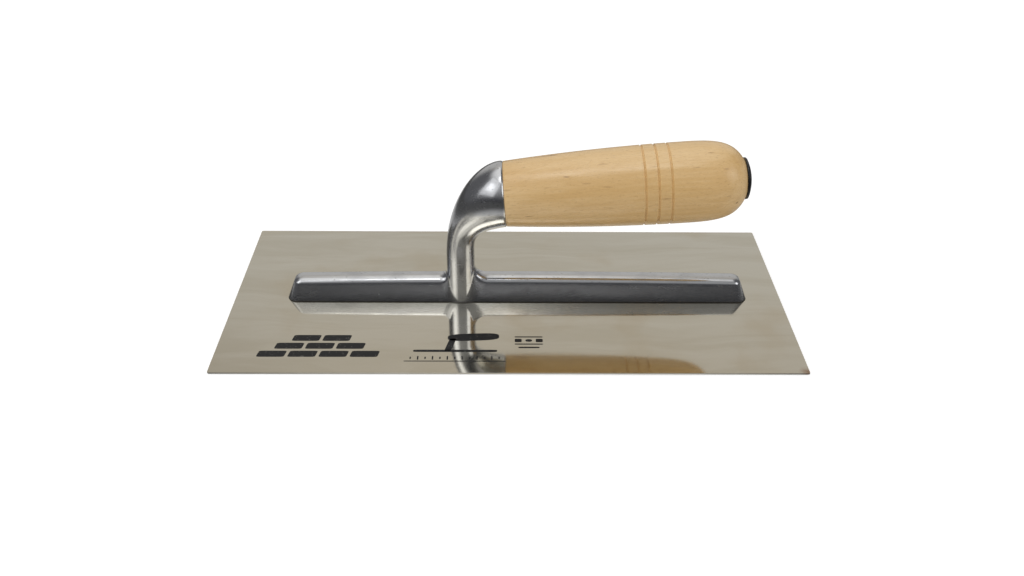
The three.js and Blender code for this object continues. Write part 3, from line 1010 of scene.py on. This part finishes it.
    @staticmethod
    def follow(path: Points, travelled: Points, distance: Points) -> Points:
        """Points at given distances along a path.

        Args:
            path: the path's points, as pairs.
            travelled: how far along the path each of its points is.
            distance: the distances asked for.

        Returns:
            A pair for each distance.
        """
        return np.stack([np.interp(distance, travelled, path[:, side]) for side in (0, 1)], axis=1)

    def surface(self) -> Surface:
        """The foot, the bend and the seat, end to end.

        Returns:
            The closed skin of the neck.
        """
        return Surface(np.concatenate([self.foot(), self.bend(), self.seat()]))


@dataclass(frozen=True)
class Mounting:
    """The aluminium casting that joins the handle to the blade."""

    spine: Spine
    neck: Neck

    def build(self) -> Thing:
        """Makes and dresses the casting.

        Returns:
            The piece that stands for the mounting.
        """
        finish = CastAluminium(deck=self.spine.deck).material()
        piece = weld("mounting_casting", [self.spine.surface(), self.neck.surface()], finish)
        return settle(piece, Slot.CASTING, "mounting")


# --- The handle and its cap ---


@dataclass(frozen=True)
class Handle:
    """The turned handle: a long swell, three cut grooves, a round heel, and the bores inside it."""

    axis: TurningAxis
    front: float = 0.06
    length: float = 114.54
    front_radius: float = 15.75
    belly_radius: float = 19.4
    dome_length: float = 27.5
    dome_fullness: float = 0.59
    heel_round: float = 0.17
    heel_fullness: float = 0.92
    rear_radius: float = 9.2
    groove_count: int = 3
    groove_pitch: float = 6.1
    groove_width: float = 1.15
    groove_depth: float = 0.62
    last_groove_to_rear: float = 36.5
    counterbore: Pair = (8.4, 20.0)
    bore_radius: float = 4.5
    recess: Pair = (7.3, 6.3)
    nose: float = 0.35
    columns: int = 144
    swell_rows: int = 90
    groove_rows: int = 29
    heel_rows: int = 60

    @property
    def rear(self) -> float:
        """How far the rear face is behind the ferrule."""
        return self.front + self.length

    def outline(self) -> Points:
        """The wood's outer profile: a parabola from the front to the belly, a cubic curve over the heel,
        and a cut for each groove whose depth falls off as one less the power 1.6 of the distance.

        Returns:
            Pairs of distance behind the ferrule and radius.
        """
        belly_at = self.rear - self.dome_length
        grooves = self.rear - self.last_groove_to_rear - self.groove_pitch * np.arange(self.groove_count)
        near = np.linspace(-1.4, 1.4, self.groove_rows) * self.groove_width / 2
        swollen = np.linspace(self.front + self.nose, belly_at, self.swell_rows)
        along = np.unique(np.round(np.concatenate([swollen, (grooves[:, None] + near).ravel()]), 4))
        t = (along - self.front) / (belly_at - self.front)
        swell = (1 - t) ** 2 * self.front_radius + (1 - (1 - t) ** 2) * self.belly_radius
        away = np.abs(along[:, None] - grooves) / (self.groove_width / 2)
        cut = self.groove_depth * np.clip(1 - away**1.6, 0, None).sum(axis=1)
        centre = (self.front + self.nose, self.front_radius - self.nose)
        nose = arc(centre, self.nose, 180, 90, 5)[:-1]
        belly, shoulder = self.belly_radius, belly_at + self.dome_length * self.dome_fullness
        places = [belly_at, shoulder, self.rear - self.dome_length * self.heel_round, self.rear]
        heel = np.column_stack([places, [belly, belly, belly * self.heel_fullness, self.rear_radius]])
        body = np.stack([along, swell - cut], axis=1)
        return np.concatenate([nose, body, bezier(heel, np.linspace(0, 1, self.heel_rows))[1:]])

    def bores(self) -> Points:
        """The profile inside the wood, from the rear face back to the front.

        Returns:
            Pairs of distance behind the ferrule and radius.
        """
        (wide, depth), (mouth, recess) = self.counterbore, self.recess
        along = [self.rear, self.rear - depth, self.rear - depth, recess, recess, self.front]
        return np.column_stack([along, [wide, wide, self.bore_radius, self.bore_radius, mouth, mouth]])

    def build(self) -> Thing:
        """Makes and dresses the handle.

        Returns:
            The piece that stands for the handle.
        """
        profile = np.concatenate([self.outline(), self.bores()])
        surface = Surface(self.axis.sweep(profile, self.columns), loops=True)
        piece = weld("turned_handle", [surface], Beech(self.axis).material(), sharp=50.0)
        return settle(piece, Slot.WOOD, "handle")


@dataclass(frozen=True)
class EndCap:
    """The plastic plug in the heel: a domed flange on a hollow stem."""

    handle: Handle
    radius: float = 10.0
    rim: float = 1.1
    dome: float = 1.95
    dome_power: float = 2.2
    dimple_depth: float = 0.25
    dimple_radius: float = 1.6
    edge: float = 0.45
    under_edge: float = 0.2
    seat_gap: float = 0.08
    stem_radius: float = 8.1
    stem_length: float = 7.0
    stem_chamfer: float = 0.5
    wall: float = 1.8
    columns: int = 128

    def profile(self) -> Points:
        """The cap's section: the stem from the inside out, the flange with a small round at each edge,
        and a dome whose height falls off as one less a power of the radius, with a shallow dimple.

        Returns:
            Pairs of distance behind the ferrule and radius, from the axis to the axis.
        """
        seat = self.handle.rear + self.seat_gap
        tip = self.handle.rear - self.stem_length
        outer, inner, cut = self.stem_radius, self.stem_radius - self.wall, self.stem_chamfer
        along = [seat, seat, tip, tip, tip + cut, seat]
        stem = np.column_stack([along, [0.0, inner, inner, outer - cut, outer, outer]])
        under = arc((seat + self.under_edge, self.radius - self.under_edge), self.under_edge, 180, 90, 4)
        over = arc((seat + self.rim - self.edge, self.radius - self.edge), self.edge, 90, 15, 8)
        radius = np.linspace(over[-1, 1], 0, 30)[1:]
        share = radius / over[-1, 1]
        dimple = self.dimple_depth * np.exp(-((radius / self.dimple_radius) ** 2))
        crown = over[-1, 0] + self.dome * (1 - share**self.dome_power) - dimple
        return np.concatenate([stem, under, over, np.stack([crown, radius], axis=1)])

    def build(self) -> Thing:
        """Makes and dresses the cap.

        Returns:
            The piece that stands for the end cap.
        """
        surface = Surface(self.handle.axis.sweep(self.profile(), self.columns))
        piece = weld("end_plug", [surface], MouldedPlastic().material(), sharp=50.0)
        return settle(piece, Slot.CAP, "end_cap")


# --- Placing and dressing ---


def settle(piece: Thing, slot: Slot, *nodes: str) -> Thing:
    """Puts a new piece on the tool's one body and hides the model's nodes that it replaces.

    Args:
        piece: the piece.
        slot: the record's material slot that its finish belongs to; it is not used.
        *nodes: the model's nodes that it replaces.

    Returns:
        The same piece.
    """
    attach(piece, "root")
    if nodes:
        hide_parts(*nodes)
    LOG.info("%s: %d faces", piece.name, len(piece.data.polygons))
    return piece


def dress(node: str, finish: Material) -> None:
    """Gives a node of the model a new material in every slot.

    Args:
        node: the node's name.
        finish: the material.
    """
    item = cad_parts[node]
    if not item.material_slots:
        item.data.materials.append(finish)
    for index in range(len(item.material_slots)):
        item.material_slots[index].material = finish
    LOG.info("%s: dressed in %s", node, finish.name)


def corners(node: str) -> tuple[Points, Points]:
    """The lowest and highest corner of a node of the model, in millimetres."""
    low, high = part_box(node)
    return np.array(low) / MM, np.array(high) / MM


# --- The printed marks ---


@dataclass(frozen=True)
class InkPatch:
    """One solid patch of ink: a bar with round corners, as a superellipse that may lean."""

    x: float
    y: float
    length: float
    width: float
    squareness: float = 7.0
    lean: float = 0.0
    turn: float = 0.0

    def surface(self, deck: float, thickness: float, columns: int = 56) -> Surface:
        """A thin closed pad whose outline is half the length times cos to the power 2 over the
        squareness, and the same of the width and sin, each with its own sign.

        Args:
            deck: the height of the blade's top.
            thickness: how far the ink stands above and reaches below it.
            columns: how many points the outline has.

        Returns:
            The pad.
        """
        angle = np.linspace(0, 2 * math.pi, columns, endpoint=False)
        power = 2 / self.squareness
        across = np.sign(np.cos(angle)) * np.abs(np.cos(angle)) ** power * self.length / 2
        along = np.sign(np.sin(angle)) * np.abs(np.sin(angle)) ** power * self.width / 2
        turn = math.radians(self.turn)
        x = self.x + across * math.cos(turn) - along * math.sin(turn) + self.lean * along
        y = self.y + across * math.sin(turn) + along * math.cos(turn)
        share = np.array([0.0, 1.0, 1.0, 0.0])[:, None]
        height = deck + thickness * np.array([-1.0, -1.0, 1.0, 1.0])[:, None] * np.ones_like(x)
        rows = [self.x + share * (x - self.x), self.y + share * (y - self.y), height]
        return Surface(np.stack(rows, axis=-1))


@dataclass(frozen=True)
class PrintedMarks:
    """Pad-printed pictures along the blade's near edge: brick courses, a trowel above a rule, and a
    small level. They hold no lettering."""

    deck: float
    thickness: float = 0.02
    course_left: float = -119.5
    course_low: float = -51.0
    brick: Pair = (13.2, 4.6)
    joint: float = 1.5
    lean: float = 0.2

    def courses(self) -> list[InkPatch]:
        """Three courses of bricks in running bond, each shorter than the one below.

        Returns:
            The bricks.
        """
        length, height = self.brick
        made = []
        for course, count in enumerate((4, 3, 2)):
            first = self.course_left + (length + self.joint) * course / 2 + length / 2
            level = self.course_low + (height + self.joint) * course + height / 2
            for step in range(count):
                x = first + step * (length + self.joint)
                made.append(InkPatch(x, level, length, height, 9.0, self.lean))
        return made

    def trowel(self) -> list[InkPatch]:
        """A trowel from the side, standing on a rule with a row of graduations above it.

        Returns:
            The patches.
        """
        rule = [InkPatch(-26.0, -54.0, 48.0, 0.6, 9.0)]
        ticks = [InkPatch(-47.0 + 3.5 * step, -51.6, 0.7, 1.6 + 1.2 * (step % 2), 6.0) for step in range(13)]
        tool = [
            InkPatch(-26.0, -46.3, 40.0, 1.7, 9.0),
            InkPatch(-28.5, -41.5, 3.2, 9.4, 8.0, 0.25),
            InkPatch(-17.5, -35.6, 25.0, 5.6, 3.4, 0.0, 3.0),
        ]
        return rule + ticks + tool

    def level(self) -> list[InkPatch]:
        """A small level: two bars, and a vial between two blocks.

        Returns:
            The patches.
        """
        bars = [InkPatch(9.3, level, 13.6, 0.8, 9.0) for level in (-35.4, -41.0)]
        blocks = [InkPatch(x, -38.2, 3.4, 2.6, 6.0) for x in (4.2, 14.4)]
        vial, foot = InkPatch(9.3, -38.2, 3.2, 2.0, 2.4), InkPatch(9.3, -43.6, 10.2, 1.1, 6.0)
        return [*bars, *blocks, vial, foot]

    def build(self) -> Thing:
        """Makes and dresses the marks.

        Returns:
            The piece, which stands for no node.
        """
        patches = self.courses() + self.trowel() + self.level()
        surfaces = [patch.surface(self.deck, self.thickness) for patch in patches]
        piece = weld("printed_marks", surfaces, PrintedInk().material())
        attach(piece, "root")
        LOG.info("%s: %d faces", piece.name, len(piece.data.polygons))
        return piece


# --- The studio ---


def grey(value: float) -> Colour:
    """A grey of the given brightness."""
    return (value, value, value, 1.0)


def toward(azimuth: float, elevation: float) -> Vector:
    """The direction from the tool to something round it.

    Args:
        azimuth: degrees round the tool, where 0 is the front and 90 is the right.
        elevation: degrees above the floor.

    Returns:
        A unit vector.
    """
    azimuth, elevation = math.radians(azimuth), math.radians(elevation)
    level = math.cos(elevation)
    return Vector((math.sin(azimuth) * level, -math.cos(azimuth) * level, math.sin(elevation)))


@dataclass(frozen=True)
class SoftBox:
    """A soft box: its direction seen from the tool, its distance and size in metres, and its watts."""

    name: str
    azimuth: float
    elevation: float
    distance: float
    size: Pair
    power: float

    def build(self, centre: Vector) -> None:
        """Hangs the soft box so that it faces the tool.

        Args:
            centre: the middle of the tool.
        """
        away = toward(self.azimuth, self.elevation)
        light = bpy.data.lights.new(self.name, "AREA")
        light.shape = "RECTANGLE"
        light.size, light.size_y = self.size
        light.energy = self.power
        lamp = bpy.data.objects.new(self.name, light)
        facing = away.to_track_quat("Z", "Y").to_matrix().to_4x4()
        lamp.matrix_world = Matrix.Translation(centre + away * self.distance) @ facing
        lamp.visible_camera = False
        bpy.context.scene.collection.objects.link(lamp)
        LOG.info("%s: %.1f W", self.name, self.power)


@dataclass(frozen=True)
class SkyPatch:
    """A soft round patch of the surroundings, whole within one angle of its axis and gone at another."""

    axis: Triple
    outer: float
    inner: float

    def mask(self, graph: Graph, sky: Socket) -> Socket:
        """Where the patch shows, as a smooth step on the cosine of the angle from its axis.

        Args:
            graph: the surroundings' graph.
            sky: the direction looked in.

        Returns:
            The mask.
        """
        axis = tuple(Vector(self.axis).normalized())
        along = graph.vector("DOT_PRODUCT", sky, axis).outputs["Value"]
        return graph.remap(along, math.cos(math.radians(self.outer)), math.cos(math.radians(self.inner)))


@dataclass(frozen=True)
class Studio:
    """A pale floor, surroundings that darken towards the front, four soft boxes and the camera."""

    camera_place: Triple = (-0.005528, -0.400509, 0.284717)
    camera_azimuth: float = -1.012
    camera_elevation: float = 34.914
    camera_roll: float = 0.734
    lens: float = 33.353
    sensor: float = 36.0
    floor_reach: float = 6.0
    floor_depth: float = -0.3
    floor_glow: float = 0.45
    table_centre: Triple = (0.0, 0.06, 0.0)
    table_fade: Pair = (0.11, 0.24)
    wall: SkyPatch = SkyPatch((0.06, 0.95, 0.28), 50.0, 22.0)
    window: SkyPatch = SkyPatch((-0.03, 0.53, 0.85), 17.0, 8.0)
    ceiling: SkyPatch = SkyPatch((-0.10, 0.20, 0.97), 38.0, 12.0)
    diffuse_fill: float = 0.3
    boxes: tuple[SoftBox, ...] = (
        SoftBox("top_lamp", -22.0, 78.0, 1.2, (0.4, 0.4), 0.9),
        SoftBox("left_soft_box", -58.0, 40.0, 1.3, (1.05, 1.15), 2.6),
        SoftBox("left_bare_lamp", -59.0, 40.0, 1.28, (0.5, 0.5), 0.55),
        SoftBox("right_soft_box", 66.0, 30.0, 1.3, (0.7, 0.7), 1.9),
    )

    def build(self) -> None:
        """Sets up the studio round the tool."""
        low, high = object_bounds()
        self.camera()
        self.floor()
        self.backdrop()
        for box in self.boxes:
            box.build((low + high) / 2)
        bpy.context.scene.view_settings.view_transform = "Standard"

    def camera(self) -> None:
        """Places the camera: back is the way from the tool to it, and right and up are rolled about
        back."""
        azimuth, roll = math.radians(self.camera_azimuth), math.radians(self.camera_roll)
        back = toward(self.camera_azimuth, self.camera_elevation)
        right = Vector((math.cos(azimuth), math.sin(azimuth), 0.0))
        up = back.cross(right)
        rolled_right = right * math.cos(roll) + up * math.sin(roll)
        rolled_up = up * math.cos(roll) - right * math.sin(roll)
        turn = Matrix((rolled_right, rolled_up, back)).transposed().to_4x4()
        data = bpy.data.cameras.new("camera")
        data.lens, data.sensor_width = self.lens, self.sensor
        data.clip_start, data.clip_end = 0.01, 50.0
        camera = bpy.data.objects.new("camera", data)
        camera.matrix_world = Matrix.Translation(self.camera_place) @ turn
        bpy.context.scene.collection.objects.link(camera)
        bpy.context.scene.camera = camera

    def floor(self) -> None:
        """Lays the floor just under the blade. Its paper looks white to the camera, and the metal sees
        it a good deal darker, as it sees a floor that ends a little way in front of the tool."""
        paint = Paint("studio_floor")
        graph, place = paint.graph, paint.place
        rays = graph.node("LightPath").outputs
        white = graph.mix(graph.times(graph.noise(place, 300.0), 0.1), grey(0.86), grey(0.82))
        reach = graph.vector("DISTANCE", place, self.table_centre).outputs["Value"]
        table = graph.mix(graph.remap(reach, *self.table_fade), grey(0.74), grey(0.07))
        values = {
            "Base Color": graph.mix(rays["Is Glossy Ray"], white, table),
            "Roughness": 0.9,
            "Emission Color": grey(1.0),
            "Emission Strength": graph.times(rays["Is Camera Ray"], self.floor_glow),
        }
        graph.fill(paint.shader, values)
        ways = ((-1, -1), (1, -1), (1, 1), (-1, 1))
        ends = [(x * self.floor_reach, y * self.floor_reach, self.floor_depth * MM) for x, y in ways]
        mesh = bpy.data.meshes.new("studio_floor")
        mesh.from_pydata(ends, [], [(0, 1, 2, 3)])
        mesh.materials.append(paint.material)
        sheet = bpy.data.objects.new("studio_floor", mesh)
        bpy.context.scene.collection.objects.link(sheet)
        sheet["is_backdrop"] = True

    def backdrop(self) -> None:
        """Colours the surroundings by direction: a dark room in front, a pale greige wall behind the
        tool, and a bright window and ceiling above. The camera itself sees white."""
        world = bpy.data.worlds.new("studio")
        bpy.context.scene.world = world
        world.use_nodes = True
        world.node_tree.nodes.clear()
        graph = Graph(world.node_tree)
        sky = graph.node("TexCoord").outputs["Generated"]
        way = graph.node("SeparateXYZ", {0: sky}).outputs
        rays = graph.node("LightPath").outputs
        front = graph.mix(graph.remap(way["Z"], 0.05, 0.8), (0.05, 0.05, 0.055, 1.0), grey(0.40))
        room = graph.mix(graph.remap(way["Y"], 0.0, -0.7), (0.12, 0.12, 0.125, 1.0), front)
        climb = graph.remap(way["Z"], 0.50, 0.70)
        paper = graph.mix(climb, (0.56, 0.548, 0.525, 1.0), (0.52, 0.48, 0.42, 1.0))
        room = graph.mix(self.wall.mask(graph, sky), room, paper)
        room = graph.mix(self.window.mask(graph, sky), room, (1.15, 1.13, 1.08, 1.0))
        room = graph.mix(self.ceiling.mask(graph, sky), room, (0.95, 0.94, 0.92, 1.0))
        fill = graph.times(rays["Is Diffuse Ray"], self.diffuse_fill)
        room = graph.mix(fill, room, (1.0, 0.99, 0.97, 1.0))
        seen = graph.mix(rays["Is Camera Ray"], room, grey(1.0))
        glow = graph.node("Background", {"Color": seen, "Strength": 1.0})
        graph.node("OutputWorld", {"Surface": glow.outputs[0]})


# --- The whole tool ---

RIVET_FINISH = PlatedSteel("ground_rivet", (0.82, 0.83, 0.85, 1.0), (0.62, 0.63, 0.65, 1.0), 0.22, 0.38)
HARDWARE_FINISH = PlatedSteel("zinc_plate", (0.66, 0.69, 0.74, 1.0), (0.50, 0.52, 0.50, 1.0), 0.24, 0.42)
HARDWARE_NODES = ("handle_bolt", "flat_washer", "lock_washer")


@dataclass(frozen=True)
class Trowel:
    """The whole tool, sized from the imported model's boxes."""

    ferrule: TurningAxis = TurningAxis(-2.6, 60.4, 4.5)

    def build(self) -> None:
        """Builds the new pieces and dresses the model's own."""
        deck = float(corners("blade")[1][2])
        toe, heel = (float(corner[0]) for corner in corners("mounting"))
        spine = Spine(x=(toe + heel) / 2, deck=deck, length=heel - toe)
        Mounting(spine, Neck(spine, self.ferrule)).build()
        handle = Handle(self.ferrule)
        handle.build()
        EndCap(handle).build()
        PrintedMarks(deck).build()
        dress("blade", RolledSteel().material())
        rivets = [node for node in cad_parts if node.startswith("blade_rivet")]
        for finish, nodes in ((RIVET_FINISH, rivets), (HARDWARE_FINISH, HARDWARE_NODES)):
            material = finish.material()
            for node in nodes:
                dress(node, material)


def main() -> None:
    """Builds the tool, then the studio."""
    logging.basicConfig(level=logging.INFO, format="%(name)s: %(message)s")
    Trowel().build()
    Studio().build()


if __name__ == "__main__":
    main()
